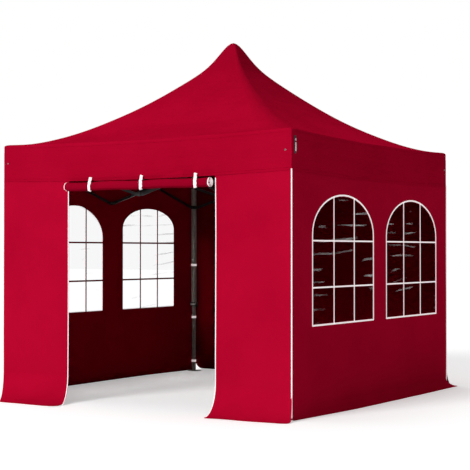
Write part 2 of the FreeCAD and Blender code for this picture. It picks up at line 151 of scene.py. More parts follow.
def thick(obj, depth, offset=-1.0, inside=0):
    """Give a sheet its thickness, with a rim, and join points that meet."""
    work = bmesh.new()
    work.from_mesh(obj.data)
    bmesh.ops.remove_doubles(work, verts=work.verts, dist=1e-5)
    work.to_mesh(obj.data)
    work.free()
    solid = obj.modifiers.new("thick", "SOLIDIFY")
    solid.thickness = depth
    solid.offset = offset
    solid.material_offset = inside
    baked(obj)
    obj.data.set_sharp_from_angle(angle=math.radians(50))
    return obj


def outward(obj):
    """Turn a closed piece's faces outward."""
    work = bmesh.new()
    work.from_mesh(obj.data)
    bmesh.ops.recalc_face_normals(work, faces=work.faces)
    work.to_mesh(obj.data)
    work.free()
    return obj


def surface_area(obj):
    return sum(p.area for p in obj.data.polygons)


def prism(name, outline, low, high, material):
    """A closed prism: the outline is (x, z) points, and low and high are its two y."""
    n = len(outline)
    points = [(x, low, z) for x, z in outline] + [(x, high, z) for x, z in outline]
    faces = [tuple(range(n)), tuple(range(2 * n - 1, n - 1, -1))]
    faces += [(i, i + n, (i + 1) % n + n, (i + 1) % n) for i in range(n)]
    return outward(mesh_object(name, points, faces, material, smooth=False))


def carve(obj, tool, operation="DIFFERENCE"):
    cutter = obj.modifiers.new("carve", "BOOLEAN")
    cutter.operation = operation
    cutter.solver = "EXACT"
    cutter.object = tool
    baked(obj)
    return obj


def joined(name, objects):
    """One piece out of several."""
    work = bmesh.new()
    materials = []
    for o in objects:
        offset = len(work.faces)
        slots = []
        for m in o.data.materials:
            if m not in materials:
                materials.append(m)
            slots.append(materials.index(m))
        work.from_mesh(o.data)
        work.faces.ensure_lookup_table()
        for f in work.faces[offset:]:
            f.material_index = slots[f.material_index] if slots else 0
    mesh = bpy.data.meshes.new(name)
    work.to_mesh(mesh)
    work.free()
    for m in materials:
        mesh.materials.append(m)
    for o in objects:
        bpy.data.objects.remove(o)
    obj = bpy.data.objects.new(name, mesh)
    bpy.context.scene.collection.objects.link(obj)
    return obj


def rounded_box(name, low, high, radius, material):
    """A box with rounded edges."""
    corners = [(x, y, z) for x in (low[0], high[0]) for y in (low[1], high[1]) for z in (low[2], high[2])]
    faces = [(0, 1, 3, 2), (4, 6, 7, 5), (0, 4, 5, 1), (2, 3, 7, 6), (0, 2, 6, 4), (1, 5, 7, 3)]
    obj = mesh_object(name, corners, faces, material)
    bevel = obj.modifiers.new("round", "BEVEL")
    bevel.width = radius
    bevel.segments = 3
    return baked(obj)


def band(name, path, across, width, depth, material):
    """A flat strap along path; across[i] is its width direction at each point."""
    path, across = np.array(path, float), np.array(across, float)
    along = np.gradient(path, axis=0)
    normal = np.cross(along, across)
    normal /= np.linalg.norm(normal, axis=1)[:, None]
    across = across / np.linalg.norm(across, axis=1)[:, None]
    edge = 0.3 * depth
    w, d = width / 2, depth / 2
    section = [(-w, -d + edge), (-w + edge, -d), (w - edge, -d), (w, -d + edge),
               (w, d - edge), (w - edge, d), (-w + edge, d), (-w, d - edge)]
    points = np.array([[p + a * u + n * v for u, v in section] for p, a, n in zip(path, across, normal)])
    rows, columns = points.shape[:2]
    faces = grid_faces(rows, columns, closed=True)
    faces += [tuple(range(columns))[::-1], tuple((rows - 1) * columns + j for j in range(columns))]
    return outward(mesh_object(name, points.reshape(-1, 3), faces, material))


def ring(name, centre, axis, radius, tube, material, turns=24, section=8):
    """A torus."""
    axis = Vector(axis).normalized()
    first = axis.orthogonal().normalized()
    second = axis.cross(first)
    points = []
    for i in range(turns):
        a = 2 * math.pi * i / turns
        out = first * math.cos(a) + second * math.sin(a)
        for j in range(section):
            b = 2 * math.pi * j / section
            points.append(Vector(centre) + out * (radius + tube * math.cos(b)) + axis * tube * math.sin(b))
    faces = []
    for i in range(turns):
        for j in range(section):
            n, m = (i + 1) % turns, (j + 1) % section
            faces.append((i * section + j, n * section + j, n * section + m, i * section + m))
    return mesh_object(name, points, faces, material)


def smoothstep(low, high, value):
    t = min(1.0, max(0.0, (value - low) / (high - low)))
    return t * t * (3 - 2 * t)


def ripple(x, y, z, seed):
    return noise.noise(Vector((x + seed * 7.31, y + seed * 1.7, z - seed * 3.1)))


# ---------------------------------------------------------------- materials

class Nodes:
    """A material's node tree, built top down."""

    def __init__(self, name):
        self.material = bpy.data.materials.new(name)
        self.material.use_nodes = True
        self.tree = self.material.node_tree
        self.shader = self.tree.nodes["Principled BSDF"]
        self.coords = self.tree.nodes.new("ShaderNodeTexCoord")

    def add(self, kind, **values):
        node = self.tree.nodes.new(kind)
        for key, value in values.items():
            if key in node.inputs:
                node.inputs[key].default_value = value
            else:
                setattr(node, key, value)
        return node

    def link(self, a, out, b, into):
        self.tree.links.new(a.outputs[out], b.inputs[into])

    def map_range(self, source, out, low, high, first=0.0, last=1.0):
        """Take source from low..high to first..last."""
        node = self.add("ShaderNodeMapRange")
        node.inputs["From Min"].default_value = low
        node.inputs["From Max"].default_value = high
        node.inputs["To Min"].default_value = first
        node.inputs["To Max"].default_value = last
        self.link(source, out, node, "Value")
        return node

    def noise(self, scale, detail=3.0, stretch=(1, 1, 1)):
        mapping = self.add("ShaderNodeMapping")
        mapping.inputs["Scale"].default_value = stretch
        self.link(self.coords, "Object", mapping, "Vector")
        texture = self.add("ShaderNodeTexNoise", Scale=scale, Detail=detail)
        self.link(mapping, "Vector", texture, "Vector")
        return texture

    def set(self, **values):
        for key, value in values.items():
            self.shader.inputs[key.replace("_", " ")].default_value = value

    def two_tone(self, texture, dark, light, low=0.35, high=0.65):
        ramp = self.add("ShaderNodeValToRGB")
        ramp.color_ramp.elements[0].position = low
        ramp.color_ramp.elements[0].color = (*dark, 1)
        ramp.color_ramp.elements[1].position = high
        ramp.color_ramp.elements[1].color = (*light, 1)
        self.link(texture, 0, ramp, "Fac")
        self.link(ramp, "Color", self.shader, "Base Color")
        return ramp

    def bump(self, texture, distance, strength=0.5, previous=None):
        bump = self.add("ShaderNodeBump", Strength=strength, Distance=distance)
        self.link(texture, 0, bump, "Height")
        if previous:
            self.link(previous, "Normal", bump, "Normal")
        self.link(bump, "Normal", self.shader, "Normal")
        return bump

    def weave(self, scale, distance, previous=None):
        """Warp and weft threads as two crossed waves on each plane."""
        total = None
        for direction in ("X", "Y", "Z"):
            wave = self.add("ShaderNodeTexWave", Scale=scale)
            wave.bands_direction = direction
            self.link(self.coords, "Object", wave, "Vector")
            if total is None:
                total = wave
                continue
            both = self.add("ShaderNodeMath", operation="ADD")
            self.link(total, 1 if total.bl_idname == "ShaderNodeTexWave" else 0, both, 0)
            self.link(wave, 1, both, 1)
            total = both
        return self.bump(total, distance, 0.4, previous)


# Painted light: the white tape glows faintly pink, so that it stays bright in the shade.
TAPE_PAINTED_GLOW = 0.45
# How clear the clear sheet still is in the middle of a painted reflection streak.
REFLECTION_STREAK_CLEAR = 0.72


def cloth_material(name, dark, light, rough=0.62, folds=0.0, peak_shade=None):
    """Coated woven polyester with a fine weave and soft creases.

    peak_shade, if given, is painted shade, darker upwards: (low z, high z, share of the colour left at the
    high z).
    """
    n = Nodes(name)
    n.set(Roughness=rough, Specular_IOR_Level=0.0)
    ramp = n.two_tone(n.noise(2.2, 4), dark, light)
    # Painted shade: the colour darkens with height, standing in for the less lit top of the roof.
    if peak_shade:
        place = n.add("ShaderNodeSeparateXYZ")
        n.link(n.coords, "Object", place, "Vector")
        share = n.map_range(place, "Z", peak_shade[0], peak_shade[1], 1.0, peak_shade[2])
        darker = n.add("ShaderNodeVectorMath", operation="SCALE")
        n.link(ramp, "Color", darker, "Vector")
        n.link(share, "Result", darker, "Scale")
        n.link(darker, "Vector", n.shader, "Base Color")
    crease = n.bump(n.noise(7.0, 4, (1, 1, 0.55)), 0.012, 0.36)
    if folds:
        crease = n.bump(n.noise(1.6, 3, (0.5, 0.5, 3.4)), 0.05, folds, crease)
    n.weave(260, 0.0004, crease)
    return n.material


def tape_material():
    n = Nodes("white_tape")
    # The emission is painted light: the tape glows though it is no lamp.
    n.set(Roughness=0.75, Specular_IOR_Level=0.3, Emission_Strength=TAPE_PAINTED_GLOW)
    n.shader.inputs["Emission Color"].default_value = (1.0, 0.90, 0.91, 1)
    n.two_tone(n.noise(60, 2), (0.76, 0.75, 0.76), (0.86, 0.85, 0.86))
    n.weave(400, 0.0005)
    return n.material


def pvc_material():
    """Clear soft sheet with pale streaks painted in as reflections."""
    n = Nodes("clear_pvc")
    n.set(Roughness=0.0, IOR=1.0, Transmission_Weight=1.0, Specular_IOR_Level=0.0)
    n.shader.inputs["Base Color"].default_value = (0.93, 0.93, 0.935, 1)
    slant = n.add("ShaderNodeMapping")
    slant.inputs["Rotation"].default_value = (math.radians(-12), 0, 0)
    slant.inputs["Scale"].default_value = (0.25, 0.25, 1.0)
    n.link(n.coords, "Object", slant, "Vector")
    lines = n.add("ShaderNodeTexWave", Scale=3.0, Distortion=6.0, Detail=2.5)
    lines.bands_direction = "Z"
    n.link(slant, "Vector", lines, "Vector")
    thin = n.map_range(lines, 1, 0.92, 1.0)
    patch = n.map_range(n.noise(1.7, 2, (1, 1, 1.4)), 0, 0.50, 0.68)
    # Painted reflection: along slanted wavy lines in patches the sheet is less clear, so its pale base
    # colour shows as streaks.
    reflection_streak = n.add("ShaderNodeMath", operation="MULTIPLY")
    n.link(thin, "Result", reflection_streak, 0)
    n.link(patch, "Result", reflection_streak, 1)
    clear = n.map_range(reflection_streak, 0, 0.0, 1.0, 1.0, REFLECTION_STREAK_CLEAR)
    n.link(clear, "Result", n.shader, "Transmission Weight")
    return n.material


def steel_material(name, *tones):
    n = Nodes(name)
    n.set(Roughness=0.42, Metallic=0.3, Specular_IOR_Level=0.5)
    n.two_tone(n.noise(35, 4), *tones)
    n.bump(n.noise(420, 2), 0.0004, 0.35)
    return n.material


def plastic_material(name, dark, light, rough=0.5):
    n = Nodes(name)
    n.set(Roughness=rough, Specular_IOR_Level=0.45)
    n.two_tone(n.noise(70, 3), dark, light)
    n.bump(n.noise(900, 2), 0.0002, 0.3)
    return n.material


def metal_material():
    n = Nodes("eyelet_metal")
    n.set(Roughness=0.28, Metallic=1.0)
    n.two_tone(n.noise(200, 2), (0.30, 0.22, 0.23), (0.42, 0.34, 0.35))
    n.bump(n.noise(600, 2), 0.0001, 0.3)
    return n.material


RED_WALL = cloth_material("wall_cloth", (0.425, 0.0018, 0.0240), (0.465, 0.0024, 0.0270), folds=0.1)
# Painted shade: the canopy is the wall's cloth in a darker colour, standing in for the roof's light and
# shade, and darker still towards the peak.
RED_ROOF_PAINTED_SHADE = cloth_material("roof_cloth_painted_shade", (0.385, 0.0014, 0.0205), (0.420, 0.0018, 0.0235), folds=0.5,
                          peak_shade=(2.45, 3.05, 0.80))
# Painted shade: the rolled door is the wall's cloth made darker for the valance's shadow over it.
RED_ROLL_PAINTED_SHADE = cloth_material("rolled_cloth_painted_shade", (0.295, 0.0012, 0.017), (0.335, 0.0015, 0.019))
# Painted shade: the inner faces of walls and canopy are the same cloth, made darker for the shade inside the
# gazebo.
RED_INSIDE_PAINTED_SHADE = cloth_material("cloth_inside_painted_shade", (0.23, 0.0008, 0.007), (0.26, 0.0010, 0.008), 0.8)
# Painted shade: the back wall's inner face, darker still, for the deeper shade at the back of the gazebo.
RED_BACK_PAINTED_SHADE = cloth_material("back_inside_painted_shade", (0.085, 0.0004, 0.0025), (0.105, 0.0005, 0.003), 0.8)
TAPE = tape_material()
PVC = pvc_material()
LEG_STEEL = steel_material("leg_steel", (0.33, 0.35, 0.32), (0.42, 0.44, 0.40))
# Painted shade: the bars are the legs' steel made nearly black, for the shade under the roof.
BAR_STEEL_PAINTED_SHADE = steel_material("bar_steel_painted_shade", (0.012, 0.012, 0.012), (0.020, 0.020, 0.020))
BLACK = plastic_material("black_plastic", (0.012, 0.012, 0.013), (0.025, 0.025, 0.026))
GREY = plastic_material("grey_plastic", (0.55, 0.56, 0.57), (0.72, 0.73, 0.74), 0.4)
EYELET = metal_material()


# ---------------------------------------------------------------- canopy

GORES_PER_SIDE = 8
STEPS_PER_GORE = 12
# The roof: its rise above the eave, the power of its concave slope, and the extra tip over the pole.
ROOF_RISE = 0.92
ROOF_POWER = 1.6
TIP_RISE = 0.135
TIP_SPREAD = 0.13
# How far the eave hangs at the middle of a side, and the roof cloth and the valance between their supports.
SAG = 0.028
ROOF_HOLLOW = 0.012
VALANCE_WAVE = 0.006
PEAK_ROUND = 0.045
EAVE_ROUND = 0.02
HIP_ROUND = 0.16


def roof_height(distance):
    distance = math.hypot(distance, PEAK_ROUND)
    share = max(0.0, 1 - distance / HALF)
    bump = TIP_RISE * math.exp(-(distance / TIP_SPREAD) ** 2)
    return EAVE + ROOF_RISE * share ** ROOF_POWER + bump


def canopy_profile():
    """(distance, height, kind) down the slope, round the eave and down the valance."""
    rows = []
    slope = 44
    for i in range(slope + 1):
        share = (i / slope) ** 1.15
        d = 0.001 + (HALF - EAVE_ROUND - 0.001) * share
        rows.append((d, roof_height(d)))
    for i in range(1, 6):
        a = math.radians(90 * i / 5)
        rows.append((HALF - EAVE_ROUND * (1 - math.sin(a)), EAVE - EAVE_ROUND * (1 - math.cos(a))))
    levels = 12
    for i in range(1, levels + 1):
        rows.append((HALF, EAVE - EAVE_ROUND - (EAVE - EAVE_ROUND - VALANCE_BOTTOM) * i / levels))
    return rows


def perimeter(p):
    """Unit square's point at p sides round from the middle of the front side, towards the right."""
    side = int(math.floor(p + 0.5))
    along = (p - side) * 2
    return turned(side % 4, (along, -1.0, 0.0)), side % 4, along


def rounded(side, along, amount):
    """The unit square's corner rounded off, as the cloth lies over a hip."""
    flat = 1 - amount
    if abs(along) <= flat:
        return turned(side, (along, -1.0, 0.0))
    a = math.radians(45) * (abs(along) - flat) / amount
    x = flat + amount * math.sin(a)
    y = flat + amount * math.cos(a)
    return turned(side, (math.copysign(x, along), -y, 0.0))


def canopy_point(p, row):
    d, z = row
    direction, side, along = perimeter(p)
    near = d / HALF
    soft = HIP_ROUND * smoothstep(0.0, 0.05, 1 - near) + 0.012
    direction = rounded(side % 4, along, soft)
    edge = 1 - along * along
    inward = 0.0
    z -= SAG * edge * near ** 5
    if z > EAVE - 0.06 and d < HALF - 0.001:
        # The roof cloth hangs a little between the hips and the middle of each side.
        z -= ROOF_HOLLOW * edge * math.sin(math.pi * min(1, near)) ** 2
        wave = ripple(direction[0] * d * 2.1, direction[1] * d * 2.1, 0, 3)
        z += 0.004 * wave * smoothstep(0.05, 0.3, near)
    else:
        drop = (EAVE - z) / (EAVE - VALANCE_BOTTOM)
        wave = ripple(direction[0] * 2.6, direction[1] * 2.6, drop * 0.8, 5)
        inward = VALANCE_WAVE * drop * (wave + 0.35) * edge
    q = np.array([direction[0] * d, direction[1] * d, z])
    outward = turned(side, (0.0, -1.0, 0.0))
    return q - outward * inward


def gore_stations(g):
    """Places round the perimeter. Gores are centred on the hips and middles, so no edge lies on a hip."""
    start = (g - 0.5) / GORES_PER_SIDE
    return [start + i / (GORES_PER_SIDE * STEPS_PER_GORE) for i in range(STEPS_PER_GORE + 1)]


def canopy_gores():
    """The roof and valance as narrow gores, each a piece of its own on the root body."""
    rows = canopy_profile()
    for g in range(4 * GORES_PER_SIDE):
        points = np.array([[canopy_point(p, row) for p in gore_stations(g)] for row in rows])
        gore = grid(f"canopy_gore_{g:02d}", points, [RED_ROOF_PAINTED_SHADE, RED_INSIDE_PAINTED_SHADE])
        thick(gore, CLOTH, inside=1)
        middle = perimeter(g / GORES_PER_SIDE)[0]
        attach(gore, "root")
        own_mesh(gore)
        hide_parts("canopy")


def follow_valance(piece, point):
    """A piece sewn to the valance goes on the root body, as the canopy does."""
    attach(piece, "root")
    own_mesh(piece)


def canopy_seams():
    """Hem and seam tape of the valance: thin raised lines in the cloth's own colour."""
    for label, z0, tall in (("hem", VALANCE_BOTTOM + 0.022, 0.0025), ("top_seam", EAVE - 0.028, 0.003)):
        for g in range(4 * GORES_PER_SIDE):
            path = []
            for p in gore_stations(g):
                q = canopy_point(p, (HALF, z0))
                out = turned(perimeter(p)[1], (0.0, -1.0, 0.0))
                path.append(q + out * 0.0006)
            line = band(f"canopy_{label}_{g:02d}", path, [(0, 0, 1)] * len(path), tall, 0.0016, RED_ROOF_PAINTED_SHADE)
            middle = perimeter(g / GORES_PER_SIDE)[0]
            follow_valance(line, middle)


def eyelets():
    """Metal eyelets near the valance's corners."""
    along, height, radius, tube = 1.444, 2.092, 0.0055, 0.0028
    for k in range(4):
        for way in (-1, 1):
            spot = turned(k, (way * along, -HALF - 0.001, height))
            out = turned(k, (0.0, -1.0, 0.0))
            name = f"eyelet_{SIDES[k]}_{'right' if way > 0 else 'left'}"
            eye = ring(name, spot, out, radius, tube, EYELET)
            follow_valance(eye, turned(k, (way * HALF, -HALF, 0)))


def corner_slots():
    """At the front corners the bracket's buckle shows in a slot in the valance's side face."""
    for way, corner in ((1, "front_right"), (-1, "front_left")):
        x, z, y = HALF, 2.134, -HALF + 0.055
        slot = rounded_box("slot", (x - 0.002, y - 0.015, z - 0.07), (x + 0.0014, y + 0.015, z + 0.07),
                           0.0015, BLACK)
        buckle = rounded_box("buckle", (x, y - 0.006, z - 0.052), (x + 0.008, y + 0.009, z + 0.018),
                             0.003, GREY)
        tab = rounded_box("tab", (x, y - 0.004, z + 0.028), (x + 0.006, y + 0.008, z + 0.048), 0.002, GREY)
        piece = joined(f"corner_buckle_{corner}", [slot, buckle, tab])
        if way < 0:
            mirrored(piece)
        follow_valance(piece, (way * HALF, -HALF, 0))


def mirrored(piece):
    """Mirror a piece left to right."""
    piece.data.transform(Matrix.Scale(-1, 4, (1, 0, 0)))
    piece.data.flip_normals()


def quarter_matrix(k):
    return Matrix.Rotation(math.pi / 2 * k, 4, "Z")


# ---------------------------------------------------------------- walls

# Height of a wall's flap above the ground, and the lowest that any of its cloth may lie.
FLAP_HEIGHT = 0.002
CLOTH_FLOOR = 0.0012
# How much the walls bulge in wide and in small waves and sway at the foot, and how far the flap ripples up.
WIDE_BULGE = 0.008
SMALL_BULGE = 0.004
FOOT_SWAY = 0.04
FLAP_RIPPLE = 0.012


class Wall:
    """The surface of one wall: straight down, flaring out over its foot, and flat on the ground."""

    def __init__(self, k, flare, flap, seed, windows=(), foot_line=(), facing=()):
        self.k, self.flare, self.flap, self.seed, self.windows = k, flare, flap, seed, windows
        self.foot_line = foot_line
        self.facing = facing
        self.foot = flare * math.pi / 2 + flap
        self.straight = WALL_TOP - flare - FLAP_HEIGHT

    def calm(self, u, z):
        """0 beside a window and at the top, 1 in the open cloth."""
        value = smoothstep(0, 0.5, WALL_TOP - z) * 0.8 + 0.2
        for middle in self.windows:
            far = max(abs(u - middle) - WINDOW_WIDTH / 2, WINDOW_SILL - z, z - WINDOW_SPRING - WINDOW_RISE)
            value *= smoothstep(0.03, 0.2, far)
        return value

    def reach(self, u):
        """How far the cloth's foot is out, and how far it has slid sideways, against its full flare."""
        if self.foot_line:
            places, outs, slides = zip(*self.foot_line)
            return tuple(float(np.interp(u, places, values)) / self.flare for values in (outs, slides))
        return 0.15 + 0.85 * smoothstep(0.0, 0.9, WALL_FACE - abs(u)), 0.0

    def point(self, u, s, lift=0.0):
        """s is the way down the cloth from its top."""
        if s <= self.straight:
            z, out, slid, normal = WALL_TOP - s, 0.0, 0.0, (0.0, -1.0, 0.0)
        else:
            t = s - self.straight
            a = min(t / self.flare, math.pi / 2)
            out = self.flare * (1 - math.cos(a)) + max(0.0, t - self.flare * math.pi / 2)
            share, slide = self.reach(u)
            slid = out * slide
            out *= share
            z = FLAP_HEIGHT + self.flare * (1 - math.sin(a))
            normal = (0.0, -math.cos(a), math.sin(a))
        calm = self.calm(u, z)
        low = smoothstep(0.5, 0.0, z)
        out += WIDE_BULGE * ripple(u * 1.5, 0, z * 0.7, self.seed) * calm
        out += SMALL_BULGE * ripple(u * 4.5, 0, z * 1.6, self.seed + 2) * calm
        out += FOOT_SWAY * ripple(u * 2.6, 0, 0.4, self.seed + 4) * low * (1 - low)
        flat = smoothstep(0.05, 0.0, z) * smoothstep(0.1, 0.3, out)
        z += FLAP_RIPPLE * max(0.0, ripple(u * 3.2, 0, out * 2, self.seed + 6)) * flat
        p = np.array([u + slid, -WALL_FACE - out, max(z, CLOTH_FLOOR)]) + np.array(normal) * lift
        return turned(self.k, p)

    def stations(self, u, ends):
        """How far down the cloth goes at u: the flap's free corners are rounded. ends holds (u, radius)."""
        reach = self.foot
        for end, radius in ends:
            near = abs(u - end)
            if near < radius:
                reach -= radius - math.sqrt(max(0.0, radius ** 2 - (radius - near) ** 2))
        return reach

    def rows(self, u, ends, step=0.055, foot_steps=18):
        """Places down the cloth at u, close together over the foot."""
        steps = max(2, int(self.straight / step))
        reach = self.stations(u, ends)
        upper = [self.straight * i / steps for i in range(steps + 1)]
        return upper + [self.straight + reach * i / foot_steps for i in range(1, foot_steps + 1)]

    def sheet(self, name, u0, u1, ends, material, bottom=None, step=0.045):
        """Cloth from u0 to u1; bottom cuts it off at a height."""
        count = max(2, int(abs(u1 - u0) / step)) + 1
        us = np.linspace(u0, u1, count)
        if ends:
            shares = (0.03, 0.1, 0.2, 0.35, 0.55, 0.8, 1)
            near = [e + w * d * r for e, r in ends for w in (-1, 1) for d in shares]
            us = np.array(sorted(set(list(us) + [u for u in near if min(u0, u1) < u < max(u0, u1)])))
        columns = [self.rows(u, ends) for u in us]
        if bottom is not None:
            down = WALL_TOP - bottom
            columns = [[down * i / 8 for i in range(9)] for _ in us]
        points = [[self.point(u, s) for u, s in zip(us, row)] for row in zip(*columns)]
        return grid(name, np.array(points), material)

    def strip(self, name, u0, u1, s0, s1, depth, material, steps=60):
        """A tape along the cloth, from s0 to s1 down it, standing on its outer face."""
        path, across = [], []
        for i in range(steps + 1):
            s = s0 + (s1 - s0) * i / steps
            a, b = self.point(u0, s, lift=depth / 2), self.point(u1, s, lift=depth / 2)
            path.append((a + b) / 2)
            across.append(b - a)
        return band(name, path, across, abs(u1 - u0), depth, material)


# Where the foot of the front wall lies: along the wall, out from it, and slid sideways.
FRONT_FOOT = ((-1.496, 0.31, 0.24), (-0.735, 0.30, 0.18), (0.787, 0.225, 0.045), (1.496, 0.17, 0.085))
RIGHT_FOOT = ((-1.496, 0.012, 0.0), (-0.6, 0.07, 0.0), (0.6, 0.09, 0.02), (1.496, 0.095, 0.045))
BACK_FOOT = ((-1.496, 0.12, 0.0), (-0.9, 0.19, 0.0), (1.496, 0.19, 0.0))
front = Wall(0, FRONT_FLARE, FRONT_FLAP, 11, foot_line=FRONT_FOOT)
right = Wall(1, SIDE_FLARE, SIDE_FLAP, 17, RIGHT_WINDOWS, foot_line=RIGHT_FOOT)
back = Wall(2, FRONT_FLARE, FRONT_FLAP, 23, foot_line=BACK_FOOT)
# The left wall's windows inside: middle, width, spring and rise of the facing, and the bars' places.
LEFT_FACING = ((-0.680, 0.89, 1.54, 0.207, (-0.829, -0.531)), (0.512, 0.845, 1.54, 0.207, (0.348, 0.646)))
left = Wall(3, SIDE_FLARE, SIDE_FLAP, 29, LEFT_WINDOWS, facing=LEFT_FACING)


def arch(middle, margin, width=WINDOW_WIDTH, spring=WINDOW_SPRING, rise=WINDOW_RISE, steps=22):
    """Outline of a window, counterclockwise from its lower left corner, as (u, z)."""
    half = width / 2 + margin
    low = WINDOW_SILL - margin
    outline = [(middle - half, low), (middle + half, low), (middle + half, spring)]
    for i in range(1, steps):
        a = math.pi * i / steps
        outline.append((middle + half * math.cos(a), spring + (rise + margin) * math.sin(a)))
    outline.append((middle - half, spring))
    return outline


# How far a cutting tool reaches to each side of the cloth.
TOOL_REACH = 0.1


def leg_of(k, way):
    """The corner that a side's left (-1) or right (1) end meets, seen from outside."""
    return CORNERS[k] if way > 0 else CORNERS[(k - 1) % 4]


def go_with_leg(piece, k, way):
    """Cloth of side k goes on the body of the leg at its end."""
    corner = leg_of(k, way)
    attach(piece, f"outer_leg_{corner}")
    axis = turned(k, (1.0, 0.0, 0.0))
    anchor = turned(k, (way * LEG, -LEG, 0.0))
    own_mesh(piece)


def wall_piece(wall, name, u0, u1, way, node, ends=(), extra=()):
    """Half a wall with its windows cut out."""
    cloth = wall.sheet(name, u0, u1, ends, [RED_WALL, RED_BACK_PAINTED_SHADE if wall is back else RED_INSIDE_PAINTED_SHADE])
    area = surface_area(cloth)
    width = abs(u1 - u0)
    if extra:
        over = wall.sheet("over", *extra, (), [RED_WALL, RED_INSIDE_PAINTED_SHADE], bottom=DOOR_TOP)
        area += surface_area(over)
        cloth = joined(name, [cloth, over])
        width += abs(extra[1] - extra[0])
    thick(cloth, CLOTH, inside=1)
    for middle in wall.windows:
        if not min(u0, u1) < middle < max(u0, u1):
            continue
        tool = prism("tool", arch(middle, 0), -WALL_FACE - TOOL_REACH, -WALL_FACE + TOOL_REACH, RED_WALL)
        tool.data.transform(quarter_matrix(wall.k))
        carve(cloth, tool)
        bpy.data.objects.remove(tool)
        area -= WINDOW_WIDTH * (WINDOW_SPRING - WINDOW_SILL + WINDOW_RISE * math.pi / 4)
    go_with_leg(cloth, wall.k, way)
    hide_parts(node)
    return cloth


def flat_ring(outer, inner, face, depth, material):
    """A flat border between two outlines with the same number of points."""
    n = len(outer)
    points = []
    for outline in (outer, inner):
        for y in (face - depth / 2, face + depth / 2):
            points += [(u, y, z) for u, z in outline]
    faces = []
    for i in range(n):
        j = (i + 1) % n
        faces += [(i, j, 2 * n + j, 2 * n + i), (n + i, 3 * n + i, 3 * n + j, n + j),
                  (i, n + i, n + j, j), (2 * n + i, 2 * n + j, 3 * n + j, 3 * n + i)]
    return mesh_object("border", points, faces, material, smooth=False)


def window_trim(wall, middle, inside):
    """Border and glazing bars of one window: white tape outside, and inside the inside cloth, darkened with
    painted shade.
    """
    # How deep the trim is, how wide its border, and half the width of its bars.
    depth, wide, bar = (0.0024, 0.010, 0.008) if inside else (0.003, 0.0065, 0.006)
    face = -WALL_FACE + (0.0045 if inside else -0.0002)
    material = RED_INSIDE_PAINTED_SHADE if inside else TAPE
    half = WINDOW_WIDTH / 2
    places = [middle - half / 3, middle + half / 3]
    inner = arch(middle, -wide)
    if wall.facing:
        centre, narrow, spring, rise, thirds = wall.facing[middle > 0]
        places = thirds
        if inside:
            inner = arch(centre, 0, narrow, spring, rise)
    parts = [flat_ring(arch(middle, wide), inner, face, depth, material)]
    for u in places:
        top = WINDOW_SPRING + WINDOW_RISE * math.sqrt(max(0.0, 1 - ((u - middle) / half) ** 2))
        parts.append(rounded_box("bar", (u - bar, face - depth / 2, WINDOW_SILL),
                                 (u + bar, face + depth / 2, top), 0.0006, material))
    for z in WINDOW_MUNTINS:
        parts.append(rounded_box("bar", (middle - half, face - depth * 0.6, z - bar),
                                 (middle + half, face + depth * 0.6, z + bar), 0.0006, material))
    return parts


def window(wall, middle, way, label):
    """Clear sheet, white border and glazing bars of one window."""
    trim = joined(f"window_trim_{label}", window_trim(wall, middle, False) + window_trim(wall, middle, True))
    outward(trim)
    trim.data.transform(quarter_matrix(wall.k))
    go_with_leg(trim, wall.k, way)

    # The clear sheet bulges a little, and runs on under the border all round.
    half = WINDOW_WIDTH / 2
    face = -WALL_FACE + 0.001
    count, border, bulge = 28, 0.012, 0.006
    low, high = WINDOW_SILL - border, WINDOW_SPRING + WINDOW_RISE + border
    lines = []
    for i in range(count):
        z = low + (high - low) * i / (count - 1)
        line = []
        for j in range(count):
            u = middle - half - border + (WINDOW_WIDTH + 2 * border) * j / (count - 1)
            edge = smoothstep(0, 0.12, min(half - abs(u - middle) + border, z - low, high - z))
            wave = bulge * ripple(u * 3.1, z * 2.3, 1.3, wall.seed + 9) * edge
            line.append((u, face + 0.0015 + 0.6 * max(0.0, wave) - 0.2 * max(0.0, -wave), z))
        lines.append(line)
    pane = grid(f"window_pane_{label}", np.array(lines), PVC)
    thick(pane, 0.0008, 0.0)
    tool = prism("tool", arch(middle, 0.007), -WALL_FACE - TOOL_REACH, -WALL_FACE + TOOL_REACH, PVC)
    carve(pane, tool, "INTERSECT")
    bpy.data.objects.remove(tool)
    pane.data.transform(quarter_matrix(wall.k))
    go_with_leg(pane, wall.k, way)
    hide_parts("window_panes")


def walls():
    middle = sum(DOOR) / 2
    end = WALL_FACE
    wall_piece(front, "front_wall_left", -end, DOOR[0], -1, "front_wall",
               ends=((-end, 0.03), (DOOR[0], 0.15)), extra=(DOOR[0], middle))
    wall_piece(front, "front_wall_right", DOOR[1], end, 1, "front_wall",
               ends=((DOOR[1], 0.025), (end, 0.10)), extra=(middle, DOOR[1]))
    short = WALL_FACE - 0.004
    for wall, name in ((right, "right_wall"), (back, "back_wall"), (left, "left_wall")):
        reach = end if wall is back else short
        split = 0.0 if wall is back else sum(wall.windows) / 2
        for way, u0, u1 in ((-1, -reach, split), (1, split, reach)):
            wall_piece(wall, f"{name}_{'left' if way < 0 else 'right'}", u0, u1, way, name,
                       ends=((-reach, 0.05), (reach, 0.05)))
    for wall, name in ((right, "right"), (left, "left")):
        for way, spot in zip((-1, 1), wall.windows):
            window(wall, spot, way, f"{name}_{'a' if way < 0 else 'b'}")


DOOR_ZIP = (0.0010, 0.0090)
DOOR_ZIP_DEPTH = 0.003
CORNER_ZIP_FRONT, CORNER_ZIP_BACK = 0.010, 0.018
CORNER_ZIP_DEPTH = 0.0035


